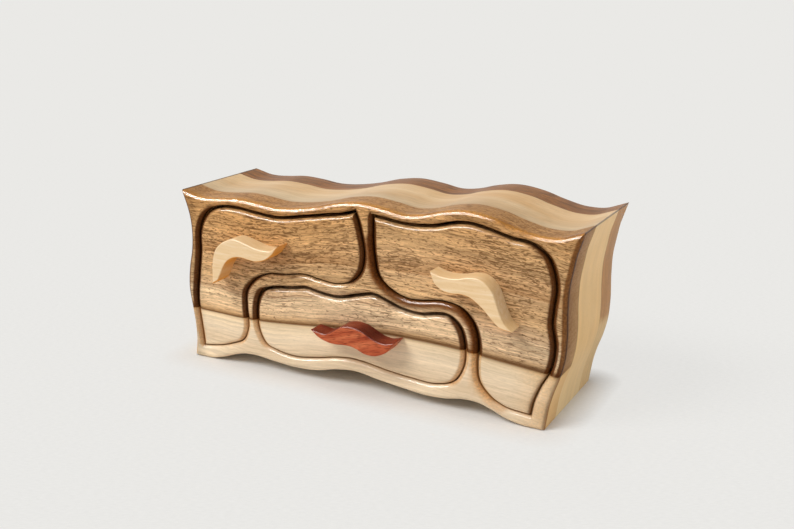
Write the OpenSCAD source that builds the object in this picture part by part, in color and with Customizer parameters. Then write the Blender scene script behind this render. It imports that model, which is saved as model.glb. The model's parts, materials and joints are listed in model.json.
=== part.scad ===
// Band-sawn jewellery box: a block of three glued boards is sawn along wavy lines into a
// carcass and three interlocking drawers, and each drawer is hollowed from above.
// X runs along the front, Y from the front to the back, Z up. All sizes are in millimetres.

/* [Box] */
// Overall width, from horn to horn
box_w = 322; // [262:5:402]
// Overall height, from the feet to the highest crest
box_h = 144.5; // [120.5:1:180.5]
// Depth of the glued block, without the handles
box_d = 100; // [86:1:140]

/* [Boards] */
// Thickness of the front board
front_board_t = 25; // [20:1:32]
// Thickness of the rear board
rear_board_t = 25; // [22:1:32]
// Thickness of the back panel, which is sawn off the rear board and glued on again
back_panel_t = 12; // [6:1:13]
// Radius of the roundover on every front edge
edge_r = 4; // [1:0.5:4.5]

/* [Drawers] */
// Gap between a drawer and its pocket, from the saw cut and the sanding
saw_gap = 1.2; // [0.8:0.1:1.8]
// What is left of that gap under a drawer, which sits on the floor of its pocket
floor_gap = 0.3; // [0.2:0.05:0.5]
// Thickness of a drawer's front
drawer_front_t = 10; // [8:0.5:14]
// Thickness of a drawer's back
drawer_back_t = 7; // [5:0.5:8]
// Thickness of a drawer's side walls and floor
drawer_wall = 7; // [5:0.5:8]
// Distance from a drawer's back to the back panel
end_gap = 0.5; // [0.3:0.1:1.5]
// How far the drawer fronts lie behind the front of the carcass
front_recess = 0.5; // [0:0.1:2]

/* [Handles] */
// How far a handle stands out from its drawer front
handle_t = 14; // [10:0.5:20]
// Radius of the eased edge around the face of a handle
handle_edge_r = 0.8; // [0.3:0.1:1]
// Diameter of the dowels that hold a handle
dowel_d = 5; // [4:0.5:6]
// Clearance around a dowel in its holes, all round
dowel_fit = 0.05; // [0.02:0.01:0.1]
// Depth of the dowel holes in the handle and in the drawer front
dowel_depth = 7; // [5:0.5:7.5]

/* [Hidden] */
// Every outline is drawn as [x, z] on a template of this size, and is stretched to the box
template_w = 322;
template_h = 144.5;
// Steps between two knots of a curve
curve_steps = 3;
// Steps around a rounded edge
round_steps = 3;
// How far a cutter runs past the wood that it cuts
overcut = 1;
// Sides of a dowel and of its holes
dowel_sides = 32;
// Two distances that differ by less than this count as one
tolerance = 0.01;

front_y = -(box_d + front_recess - handle_t) / 2;
middle_y = front_y + front_board_t;
rear_y = front_y + box_d - rear_board_t;
panel_y = front_y + box_d - back_panel_t;
back_y = front_y + box_d;
drawer_y = front_y + front_recess;
hollow_y = drawer_y + drawer_front_t;
drawer_end_y = panel_y - end_gap;
hollow_end_y = drawer_end_y - drawer_back_t;
handle_y = drawer_y - handle_t;
drawer_drop = saw_gap - floor_gap;

walnut = "#9a6b3f";
rear_walnut = "#86634a";
maple = "#e2c391";
padauk = "#a04a2c";
beech = "#c9a071";

// Outside of the box, anticlockwise from the left foot. The corners between the runs are sharp.
underside = [[-157, 0], [-148, 0], [-140, 0.3], [-130, 2.5], [-120, 6], [-110, 9], [-100, 10], [-80, 8.3],
    [-60, 7], [-40, 8.5], [-23, 12.5], [-8, 14], [10, 11.5], [30, 9], [50, 7], [64, 7.5], [80, 10], [90, 9.8],
    [100, 7], [110, 3], [120, 0.6], [130, 0], [139, 0]];
right_side = [[139, 0], [141, 13.5], [144, 26.5], [148, 38.5], [151, 51.5], [152, 66.5], [151.5, 86.5],
    [152, 101.5], [154, 113.5], [156.5, 125.5], [161, 139.5]];
top_side = [[161, 139.5], [149, 135], [132, 133.5], [115, 137], [98, 142], [78, 144.5], [60, 142],
    [47, 138.5], [33, 137], [17, 139.5], [-2, 141.5], [-20, 139.5], [-40, 134.5], [-58, 131.5],
    [-76, 130.5], [-94, 132.5], [-110, 133.5], [-128, 132], [-139, 131.5], [-149, 132.5], [-161, 135.5]];
left_side = [[-161, 135.5], [-157.5, 125.5], [-154.5, 114.5], [-153.5, 103.5], [-154.5, 89.5], [-158, 73.5],
    [-159.5, 57.5], [-157.5, 41.5], [-155.5, 25.5], [-155.5, 11.5], [-157, 0]];

// Saw line of the left drawer, from its lower left corner around to its upper right corner and back
left_cut_under = [[-147.5, 10.5], [-140, 11.5], [-120, 16.5], [-108, 22.5], [-103.5, 32.5], [-104, 50.5],
    [-103, 62.5], [-95, 72.5], [-82, 79], [-66.5, 80.5], [-49.5, 83], [-36.5, 81], [-21.5, 80],
    [-9.5, 83.5], [-1.5, 91.5], [1.5, 103.5], [1, 111.5], [-1, 121.5], [-3, 129], [-5.5, 135.5]];
left_cut_over = [[-5.5, 135.5], [-12, 133.5], [-31.5, 130], [-51.5, 126.5], [-72, 123.5], [-92, 125],
    [-112, 127], [-122, 126.5], [-129, 125], [-135, 122], [-140, 117], [-145, 105.5], [-146, 90.5],
    [-149, 70.5], [-151.5, 50.5], [-149.5, 30.5], [-148, 16.5], [-147.5, 10.5]];

// Saw line of the centre drawer, which has no corner
centre_cut = [[-76.5, 18.5], [-61.5, 16.5], [-41.5, 19], [-21.5, 23], [-11.5, 24], [-1.5, 23.5],
    [18.5, 20.5], [38.5, 18.5], [58.5, 18], [72.5, 23], [79.5, 35.5], [80.5, 48.5], [75.5, 64.5],
    [66.5, 70.5], [60.5, 70.5], [46.5, 68], [31.5, 69.5], [16.5, 74.5], [9.5, 76.5], [-4.5, 74],
    [-21.5, 70], [-39.5, 71.5], [-48.5, 73], [-61.5, 71], [-77, 69], [-88, 65], [-93, 55.5], [-94, 48.5],
    [-92, 30.5], [-86.5, 22]];

// Saw line of the right drawer, from its lower right corner around to its upper left corner and back
right_cut_over = [[129, 9.5], [130, 15.5], [135, 30.5], [142, 44.5], [144.5, 60.5], [142, 78.5],
    [142.5, 85.5], [143.5, 105.5], [137, 121.5], [126, 128.5], [112, 130.5], [96.5, 134.5], [81.5, 137],
    [73.5, 136.5], [56.5, 132.5], [38.5, 131], [28.5, 131.5], [17.5, 133], [9, 134]];
right_cut_under = [[9, 134], [9, 122.5], [10, 104.5], [13.5, 90.5], [25.5, 81], [38.5, 77.5], [46.5, 78],
    [63.5, 80], [77.5, 77], [86, 68.5], [90.5, 52.5], [89.5, 40.5], [91.5, 26.5], [98.5, 18], [111, 11.5],
    [122.5, 10], [129, 9.5]];

// Where the saw enters and leaves a drawer from above when it is hollowed, as [left x, right x]
left_mouth = [-129, -16];
centre_mouth = [-80, 66];
right_mouth = [20, 126];
// Height on the template from which the two upper drawers and the centre drawer are open to above
upper_mouth_z = 106;
centre_mouth_z = 52;

// Each handle has its centre on the template, and its outline and dowels around that centre
left_handle_at = [-95, 93.5];
left_handle_over = [[32.5, 13], [27, 9.5], [21, 8.7], [15, 9], [5, 11.5], [-2, 13.3], [-7, 14], [-13, 12.3],
    [-19, 9], [-23.5, 4.5], [-26, -1], [-27.5, -8], [-28, -17], [-28.5, -23.5]];
left_handle_under = [[-28.5, -23.5], [-24.5, -21], [-21, -16], [-18, -10], [-15, -5.5], [-10, -1.5],
    [-5, 0.2], [0, 0.5], [7, -0.4], [13, -0.7], [20, 1], [25, 4], [29, 8], [32.5, 13]];
left_handle_dowels = [[-17, 2.5], [14, 4]];

centre_handle_at = [-1, 46.5];
centre_handle_over = [[34.5, 3], [28, 1.3], [22, 1.5], [16, 3.5], [10, 6.5], [4, 8.5], [-2, 9], [-8, 8],
    [-13, 5.2], [-18, 2], [-23, 0], [-28, 0.5], [-34.5, 1.5]];
centre_handle_under = [[-34.5, 1.5], [-30, -2], [-25, -4.5], [-19, -6], [-13, -6.3], [-7, -5.7], [-1, -5.7],
    [4, -7], [9, -9], [14, -9.8], [19, -9.4], [24, -7.5], [29, -4], [34.5, 3]];
centre_handle_dowels = [[-9, 0.5], [14, -3]];

right_handle_at = [90, 93.5];
right_handle_over = [[30, -21], [26, -17.5], [22.5, -12.5], [20, -6.5], [18, -1], [15, 5], [11, 9.2], [7, 11.4],
    [2, 12], [-3, 11.4], [-8, 10], [-14, 9.3], [-20, 9.5], [-25, 10.5], [-29.5, 12]];
right_handle_under = [[-29.5, 12], [-26.5, 5], [-23, 1.5], [-19, -0.5], [-13, -1.2], [-6, -0.8], [0, -2],
    [5, -5], [10, -9], [14, -13], [18, -17], [23, -20], [30, -21]];
right_handle_dowels = [[14, -3.5], [-14, 4]];

// ---- Curves and outlines ----

// A template point on the real box
function fit(p) = [p[0] * box_w / template_w, p[1] * box_h / template_h];
function fit_all(points) = [for (p = points) fit(p)];
function unit(v) = v / norm(v);

// Direction of a curve at knot b, between its neighbours a and c, weighted by their distances
function slope(a, b, c) = ((c - b) / norm(c - b) * norm(b - a) + (b - a) / norm(b - a) * norm(c - b))
    / (norm(b - a) + norm(c - b));
// Point at t, from 0 to 1, of the cubic curve from a to b with the slopes sa and sb
function cubic(a, b, sa, sb, t) = (1 + 2 * t) * (1 - t) * (1 - t) * a + t * t * (3 - 2 * t) * b
    + norm(b - a) * (t * (1 - t) * (1 - t) * sa - t * t * (1 - t) * sb);

// An open curve through its knots, without the last one. The stretch next to each end is straight,
// which leaves room for a mitred roundover at the sharp corner there.
function run(k) = [for (i = [0 : len(k) - 2])
    let (last = len(k) - 1,
        sa = i == 0 ? [0, 0] : slope(k[i - 1], k[i], k[i + 1]),
        sb = i == last - 1 ? [0, 0] : slope(k[i], k[i + 1], k[i + 2]),
        steps = i == 0 || i == last - 1 ? 1 : curve_steps)
    for (s = [0 : steps - 1]) s == 0 ? k[i] : cubic(k[i], k[i + 1], sa, sb, s / steps)];

// A closed curve through its knots
function loop(k) = [for (i = [0 : len(k) - 1])
    let (n = len(k), a = k[i], b = k[(i + 1) % n],
        sa = slope(k[(i + n - 1) % n], a, b), sb = slope(a, b, k[(i + 2) % n]))
    for (s = [0 : curve_steps - 1]) cubic(a, b, sa, sb, s / curve_steps)];

// An anticlockwise outline grown by d along its normals, or shrunk by a negative d
function grow(o, d) = [for (i = [0 : len(o) - 1])
    let (n = len(o), u = unit(o[i] - o[(i + n - 1) % n]), v = unit(o[(i + 1) % n] - o[i]),
        m = [u[1] + v[1], -u[0] - v[0]])
    o[i] + 2 * d * m / (m * m)];

// Distance from p to the straight stretch from a to b
function stretch_gap(p, a, b) = norm(p - a - max(0, min(1, (p - a) * (b - a) / ((b - a) * (b - a)))) * (b - a));
// An outline shrunk by d, without the points that come nearer to it than d at a tight corner
function inset(o, d) = [for (p = grow(o, -d))
    let (n = len(o), gaps = [for (i = [0 : n - 1]) stretch_gap(p, o[i], o[(i + 1) % n])])
    if (min(gaps) > d - tolerance) p];
function shift(o, by) = [for (p = o) p + by];

outside = fit_all(concat(run(underside), run(right_side), run(top_side), run(left_side)));
left_cut = fit_all(concat(run(left_cut_under), run(left_cut_over)));
centre_cut_line = fit_all(loop(centre_cut));
right_cut = fit_all(concat(run(right_cut_over), run(right_cut_under)));
cuts = [left_cut, centre_cut_line, right_cut];

// A drawer's own outline: inside the saw line, and down on the floor of its pocket
function drawer_outline(cut) = shift(grow(cut, -saw_gap / 2), [0, -drawer_drop]);

// ---- Shared shapes ----

// A straight board with the outline o, from y0 to y1
module board(o, y0, y1)
    translate([0, y1, 0]) rotate([90, 0, 0]) linear_extrude(y1 - y0) polygon(o);

// Depth below the front, and distance from the side, at step s around a rounded edge of radius r
function round_depth(r, s) = r * (1 - cos(90 * s / round_steps));
function round_side(r, s) = r * (1 - sin(90 * s / round_steps));

// What a rounding-over bit of radius r takes off the front edge of the outline o, at y0. It runs
// inside the edge of a solid (into = -1), or outside the edge of a pocket (into = 1).
module edge_cutter(o, y0, r, into) {
    n = len(o);
    section = concat([[y0 - overcut, r]],
        [for (s = [0 : round_steps]) [y0 + round_depth(r, s), round_side(r, s)]],
        [[y0 + r, -overcut], [y0 - overcut, -overcut]]);
    m = len(section);
    points = [for (step = section) for (p = grow(o, into * step[1])) [p[0], step[0], p[1]]];
    faces = [for (j = [0 : m - 1]) for (i = [0 : n - 1])
        let (a = j * n + i, b = j * n + (i + 1) % n, c = (j + 1) % m * n + (i + 1) % n, d = (j + 1) % m * n + i)
        for (face = into < 0 ? [[a, c, b], [a, d, c]] : [[a, b, c], [a, c, d]]) face];
    polyhedron(points, faces);
}

// A board from y0 to y1 with its front edge rounded over
module rounded_board(o, y0, y1, r)
    difference() {
        board(o, y0, y1);
        edge_cutter(o, y0, r, -1);
    }

// A handle's outline in its place
function handle_outline(at, over, under) = shift(concat(run(over), run(under)), fit(at) - [0, drawer_drop]);

// The dowels of a handle, or with a clearance the holes for them
module dowels(at, places, clear)
    for (p = places)
        translate([(fit(at) + p)[0], drawer_y + dowel_depth + clear, (fit(at) + p)[1] - drawer_drop])
            rotate([90, 0, 0]) cylinder(d = dowel_d + 2 * clear, h = 2 * (dowel_depth + clear), $fn = dowel_sides);

// ---- Carcass ----

module carcass_front_board()
    color(walnut) difference() {
        carcass_ring(front_y, middle_y);
        edge_cutter(outside, front_y, edge_r, -1);
        for (cut = cuts) edge_cutter(grow(cut, saw_gap / 2), front_y, edge_r, 1);
    }

// A board of the carcass from y0 to y1, with its three pockets
module carcass_ring(y0, y1)
    translate([0, y1, 0]) rotate([90, 0, 0]) linear_extrude(y1 - y0) difference() {
        polygon(outside);
        for (cut = cuts) polygon(grow(cut, saw_gap / 2));
    }

module carcass_middle_board() color(maple) carcass_ring(middle_y, rear_y);

module carcass_rear_board() color(rear_walnut) carcass_ring(rear_y, panel_y);

module back_panel() color(rear_walnut) board(outside, panel_y, back_y);

// ---- Drawers ----

// The face of a drawer, with the holes for its handle's dowels
module drawer_front(cut, at, places)
    color(walnut) difference() {
        rounded_board(drawer_outline(cut), drawer_y, hollow_y, edge_r);
        dowels(at, places, dowel_fit);
    }

// One board of the hollowed part of a drawer, from y0 to y1
module drawer_ring(cut, mouth, mouth_z, y0, y1) {
    outline = drawer_outline(cut);
    low = fit([mouth[0], mouth_z]);
    high = [fit([mouth[1], mouth_z])[0], max([for (p = outline) p[1]]) + overcut];
    translate([0, y1, 0]) rotate([90, 0, 0]) linear_extrude(y1 - y0) difference() {
        polygon(outline);
        polygon(inset(outline, drawer_wall));
        translate(low) square(high - low);
    }
}

module drawer_body_front(cut, mouth, mouth_z) color(walnut) drawer_ring(cut, mouth, mouth_z, hollow_y, middle_y);

module drawer_body_middle(cut, mouth, mouth_z) color(maple) drawer_ring(cut, mouth, mouth_z, middle_y, rear_y);

module drawer_body_rear(cut, mouth, mouth_z)
    color(rear_walnut) drawer_ring(cut, mouth, mouth_z, rear_y, hollow_end_y);

module drawer_back(cut) color(rear_walnut) board(drawer_outline(cut), hollow_end_y, drawer_end_y);

// ---- Handles ----

module handle(at, over, under, places, wood)
    color(wood) difference() {
        rounded_board(handle_outline(at, over, under), handle_y, drawer_y, handle_edge_r);
        dowels(at, places, dowel_fit);
    }

module handle_dowels(at, places) color(beech) dowels(at, places, 0);

// ---- Sub-parts by name ----

module left_drawer_front() drawer_front(left_cut, left_handle_at, left_handle_dowels);
module left_drawer_body_front() drawer_body_front(left_cut, left_mouth, upper_mouth_z);
module left_drawer_body_middle() drawer_body_middle(left_cut, left_mouth, upper_mouth_z);
module left_drawer_body_rear() drawer_body_rear(left_cut, left_mouth, upper_mouth_z);
module left_drawer_back() drawer_back(left_cut);
module left_handle() handle(left_handle_at, left_handle_over, left_handle_under, left_handle_dowels, maple);

module centre_drawer_front() drawer_front(centre_cut_line, centre_handle_at, centre_handle_dowels);
module centre_drawer_body_front() drawer_body_front(centre_cut_line, centre_mouth, centre_mouth_z);
module centre_drawer_body_middle() drawer_body_middle(centre_cut_line, centre_mouth, centre_mouth_z);
module centre_drawer_body_rear() drawer_body_rear(centre_cut_line, centre_mouth, centre_mouth_z);
module centre_drawer_back() drawer_back(centre_cut_line);
module centre_handle()
    handle(centre_handle_at, centre_handle_over, centre_handle_under, centre_handle_dowels, padauk);

module right_drawer_front() drawer_front(right_cut, right_handle_at, right_handle_dowels);
module right_drawer_body_front() drawer_body_front(right_cut, right_mouth, upper_mouth_z);
module right_drawer_body_middle() drawer_body_middle(right_cut, right_mouth, upper_mouth_z);
module right_drawer_body_rear() drawer_body_rear(right_cut, right_mouth, upper_mouth_z);
module right_drawer_back() drawer_back(right_cut);
module right_handle() handle(right_handle_at, right_handle_over, right_handle_under, right_handle_dowels, maple);

carcass_front_board();
carcass_middle_board();
carcass_rear_board();
back_panel();
left_drawer_front();
left_drawer_body_front();
left_drawer_body_middle();
left_drawer_body_rear();
left_drawer_back();
left_handle();
handle_dowels(left_handle_at, left_handle_dowels);
centre_drawer_front();
centre_drawer_body_front();
centre_drawer_body_middle();
centre_drawer_body_rear();
centre_drawer_back();
centre_handle();
handle_dowels(centre_handle_at, centre_handle_dowels);
right_drawer_front();
right_drawer_body_front();
right_drawer_body_middle();
right_drawer_body_rear();
right_drawer_back();
right_handle();
handle_dowels(right_handle_at, right_handle_dowels);
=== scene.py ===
"""Looks of a band-sawn jewellery box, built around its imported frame.

A block of three glued boards is sawn along wavy lines into a carcass and three interlocking
drawers. Every class below holds its sizes in millimetres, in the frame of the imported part: X
along the front, Y from the front to the back, Z up. A mesh is in metres once it is made.
"""

import json
import logging
import math
from dataclasses import dataclass
from enum import Enum
from typing import Sequence, Union

import bpy
import numpy as np
from mathutils import Matrix, Vector
from mathutils.geometry import delaunay_2d_cdt


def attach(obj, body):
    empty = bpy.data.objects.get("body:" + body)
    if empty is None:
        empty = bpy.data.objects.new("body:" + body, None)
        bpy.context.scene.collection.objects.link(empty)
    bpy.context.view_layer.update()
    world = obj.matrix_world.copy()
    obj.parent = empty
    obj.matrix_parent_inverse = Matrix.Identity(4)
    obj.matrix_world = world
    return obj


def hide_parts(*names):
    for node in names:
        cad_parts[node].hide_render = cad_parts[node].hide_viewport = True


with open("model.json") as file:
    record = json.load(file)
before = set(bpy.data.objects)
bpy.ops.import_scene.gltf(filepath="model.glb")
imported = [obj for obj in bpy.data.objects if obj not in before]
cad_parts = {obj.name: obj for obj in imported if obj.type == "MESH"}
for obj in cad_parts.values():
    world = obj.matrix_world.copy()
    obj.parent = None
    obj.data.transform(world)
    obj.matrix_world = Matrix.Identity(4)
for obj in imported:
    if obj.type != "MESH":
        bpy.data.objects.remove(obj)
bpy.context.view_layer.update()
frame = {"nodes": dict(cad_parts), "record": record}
log = logging.getLogger("jewellery_box")

MM = 0.001
HALF_WIDTH = 161.0  # from the middle of the block to its widest corners
SHARP_ANGLE = 38.0  # degrees between two faces, above which their edge is sharp
CURVE_STEPS = 24  # points from one knot to the next, before they are spaced evenly
BATCH = 500  # about how many points are measured against the outlines at once
Point = tuple[float, float]
Knots = tuple[Point, ...]
Place = tuple[float, float, float]
Colour = tuple[float, float, float]
Value = Union[float, "Field"]
Paint = Union[Colour, "Field"]


# ---------------------------------------------------------------- outlines


def unit(v: np.ndarray) -> np.ndarray:
    """Each row of v at length 1."""
    return v / np.linalg.norm(v, axis=-1, keepdims=True)


def resample(points: np.ndarray, spacing: float) -> np.ndarray:
    """Points at even steps of arc length along a polyline, without the last one.

    Args:
        points: the polyline, one [x, z] a row.
        spacing: the widest step between two points, in millimetres.

    Returns:
        The new points, which start at the polyline's first point.
    """
    length = np.concatenate([[0.0], np.cumsum(np.linalg.norm(np.diff(points, axis=0), axis=1))])
    count = max(2, math.ceil(length[-1] / spacing))
    at = np.linspace(0.0, length[-1], count, endpoint=False)
    return np.stack([np.interp(at, length, points[:, k]) for k in (0, 1)], axis=1)


def curve(knots: Knots, spacing: float, closed: bool = False) -> np.ndarray:
    """A smooth curve through its knots. An open one is straight beside its two ends.

    At t from 0 to 1 between knots a and b, a distance h apart and with directions u and v, the
    point is (1 + 2t)(1 - t)^2 a + t^2 (3 - 2t) b + h (t (1 - t)^2 u - t^2 (1 - t) v). The
    direction at a knot is that of its two stretches, each weighted by the other's length.

    Args:
        knots: the knots.
        spacing: the widest step between two points.
        closed: whether the curve comes back to its first knot.

    Returns:
        The curve's points, one [x, z] a row, without the last one.
    """
    k = np.array(knots + knots[:1] if closed else knots, float)
    a, b = k[:-1], k[1:]
    h = np.linalg.norm(b - a, axis=1, keepdims=True)
    along = (b - a) / h
    h_before, along_before = np.roll(h, 1, axis=0), np.roll(along, 1, axis=0)
    way = (along * h_before + along_before * h) / (h_before + h)
    way = np.concatenate([way, way[:1]])
    if not closed:
        way[:2], way[-2:] = along[0], along[-1]
    t = np.linspace(0.0, 1.0, CURVE_STEPS, endpoint=False)[None, :, None]
    a, b, h, u, v = (part[:, None] for part in (a, b, h, way[:-1], way[1:]))
    points = (1 + 2 * t) * (1 - t) ** 2 * a + t**2 * (3 - 2 * t) * b
    points = points + h * (t * (1 - t) ** 2 * u - t**2 * (1 - t) * v)
    return resample(np.concatenate([points.reshape(-1, 2), k[-1:]]), spacing)


def mitre(outline: np.ndarray) -> np.ndarray:
    """Step that moves each point of an outline 1 mm out, along the bisector of its corner.

    With m the sum of the outward normals of the two stretches at a point, it is 2 m / |m|^2.

    Args:
        outline: an anticlockwise outline.

    Returns:
        The steps, one [x, z] a row.
    """
    u = unit(outline - np.roll(outline, 1, axis=0))
    v = unit(np.roll(outline, -1, axis=0) - outline)
    m = np.stack([u[:, 1] + v[:, 1], -u[:, 0] - v[:, 0]], axis=1)
    return 2 * m / np.sum(m * m, axis=1, keepdims=True)


def grow(outline: np.ndarray, by: float) -> np.ndarray:
    """An anticlockwise outline moved out by a distance, or in by a negative one."""
    return outline + by * mitre(outline)


def distance(points: np.ndarray, loops: Sequence[np.ndarray]) -> np.ndarray:
    """Distance from each point to the nearest stretch of some closed outlines.

    The nearest place on a stretch from a to b is a + t (b - a), with t the share of the way
    along it at which the point lies, held to 0..1. Many points are taken in batches.

    Args:
        points: one [x, z] a row.
        loops: the outlines.

    Returns:
        The distances.
    """
    if len(points) > BATCH:
        batches = np.array_split(points, len(points) // BATCH + 1)
        return np.concatenate([distance(batch, loops) for batch in batches])
    a = np.concatenate(loops)
    ab = np.concatenate([np.roll(o, -1, axis=0) for o in loops]) - a
    ap = points[:, None] - a
    t = np.clip(np.sum(ap * ab, axis=2) / np.sum(ab * ab, axis=1), 0, 1)
    return np.linalg.norm(ap - t[..., None] * ab, axis=2).min(axis=1)


def inside(points: np.ndarray, outline: np.ndarray) -> np.ndarray:
    """Which points lie inside a closed outline: a ray to the right crosses it an odd number of times.

    Args:
        points: one [x, z] a row.
        outline: the outline.

    Returns:
        True or False for each point.
    """
    if len(points) > BATCH:
        batches = np.array_split(points, len(points) // BATCH + 1)
        return np.concatenate([inside(batch, outline) for batch in batches])
    x, z = points[:, :1], points[:, 1:]
    a, b = outline, np.roll(outline, -1, axis=0)
    rise = np.where(b[:, 1] == a[:, 1], 1.0, b[:, 1] - a[:, 1])
    cross = a[:, 0] + (z - a[:, 1]) / rise * (b[:, 0] - a[:, 0])
    spans = (a[:, 1] > z) != (b[:, 1] > z)
    return np.sum(spans & (x < cross), axis=1) % 2 == 1


def within(points: np.ndarray, loops: Sequence[np.ndarray]) -> np.ndarray:
    """True for each point inside the first outline and outside all the others."""
    return inside(points, loops[0]) & ~np.any([inside(points, o) for o in loops[1:]], axis=0)


def stretches(loops: Sequence[np.ndarray]) -> list[np.ndarray]:
    """The stretches of each outline, as the numbers of their two ends.

    Args:
        loops: the outlines, whose points are counted on from each to the next.

    Returns:
        For each outline, one [start, end] a row.
    """
    pairs, start = [], 0
    for o in loops:
        i = np.arange(len(o))
        pairs.append(start + np.stack([i, (i + 1) % len(o)], axis=1))
        start += len(o)
    return pairs


# ---------------------------------------------------------------- meshes


def triangles(points: np.ndarray, loops: Sequence[np.ndarray]) -> np.ndarray:
    """Delaunay triangles of a flat net, anticlockwise in [x, z].

    Args:
        points: the net's points, which start with the points of the loops in their order.
        loops: the outer outline, then the outlines of the holes.

    Returns:
        Three point numbers a row, for the triangles inside the outer outline and outside the holes.
    """
    edges = np.concatenate(stretches(loops)).tolist()
    net = delaunay_2d_cdt([Vector(p) for p in points.tolist()], edges, [], 0, 1e-7, True)
    source = np.array([o[0] for o in net[3]])
    tri = source[np.array(net[2])]
    corners = points[tri]
    ab, ac = corners[:, 1] - corners[:, 0], corners[:, 2] - corners[:, 0]
    turn = ab[:, 0] * ac[:, 1] - ab[:, 1] * ac[:, 0]
    tri[turn < 0] = tri[turn < 0][:, ::-1]
    return tri[within(corners.mean(axis=1), loops)]


def round_depth(gap: np.ndarray, radius: float) -> np.ndarray:
    """Depth of a quarter-round edge below its face: r - sqrt(r^2 - (r - gap)^2).

    Args:
        gap: distance from the outline.
        radius: r, or 0 for a sharp edge.

    Returns:
        The depths.
    """
    side = np.clip(radius - gap, 0, radius)
    return radius - np.sqrt(np.maximum(radius**2 - side**2, 0))


def mesh_object(name: str, verts: np.ndarray, faces: Sequence[np.ndarray]) -> bpy.types.Object:
    """A mesh object at the origin, smooth but for its sharp corners.

    Args:
        name: its name.
        verts: its points in millimetres, one [x, y, z] a row.
        faces: arrays of point numbers, one triangle or quad a row.

    Returns:
        The object, linked to the scene.
    """
    mesh = bpy.data.meshes.new(name)
    loops = np.concatenate([f.ravel() for f in faces]).astype(np.int32)
    sizes = np.concatenate([np.full(len(f), f.shape[1]) for f in faces]).astype(np.int32)
    starts = np.concatenate([[0], np.cumsum(sizes)[:-1]]).astype(np.int32)
    mesh.vertices.add(len(verts))
    mesh.vertices.foreach_set("co", (verts * MM).astype(np.float32).ravel())
    mesh.loops.add(len(loops))
    mesh.loops.foreach_set("vertex_index", loops)
    mesh.polygons.add(len(sizes))
    mesh.polygons.foreach_set("loop_start", starts)
    mesh.polygons.foreach_set("use_smooth", np.ones(len(sizes), bool))
    mesh.update(calc_edges=True)
    mesh.validate()
    mesh.set_sharp_from_angle(angle=math.radians(SHARP_ANGLE))
    return placed(name, mesh)


def placed(name: str, data: bpy.types.ID, matrix: Matrix = Matrix.Identity(4)) -> bpy.types.Object:
    """A new object in the scene.

    Args:
        name: its name.
        data: its mesh, lamp or camera.
        matrix: its place.

    Returns:
        The object.
    """
    made = bpy.data.objects.new(name, data)
    made.matrix_world = matrix
    bpy.context.scene.collection.objects.link(made)
    return made


def turned(right: Vector, up: Vector, back: Vector) -> Matrix:
    """The turn that takes an object's own X, Y and Z to three given directions."""
    return Matrix((right, up, back)).transposed().to_4x4()


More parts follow.
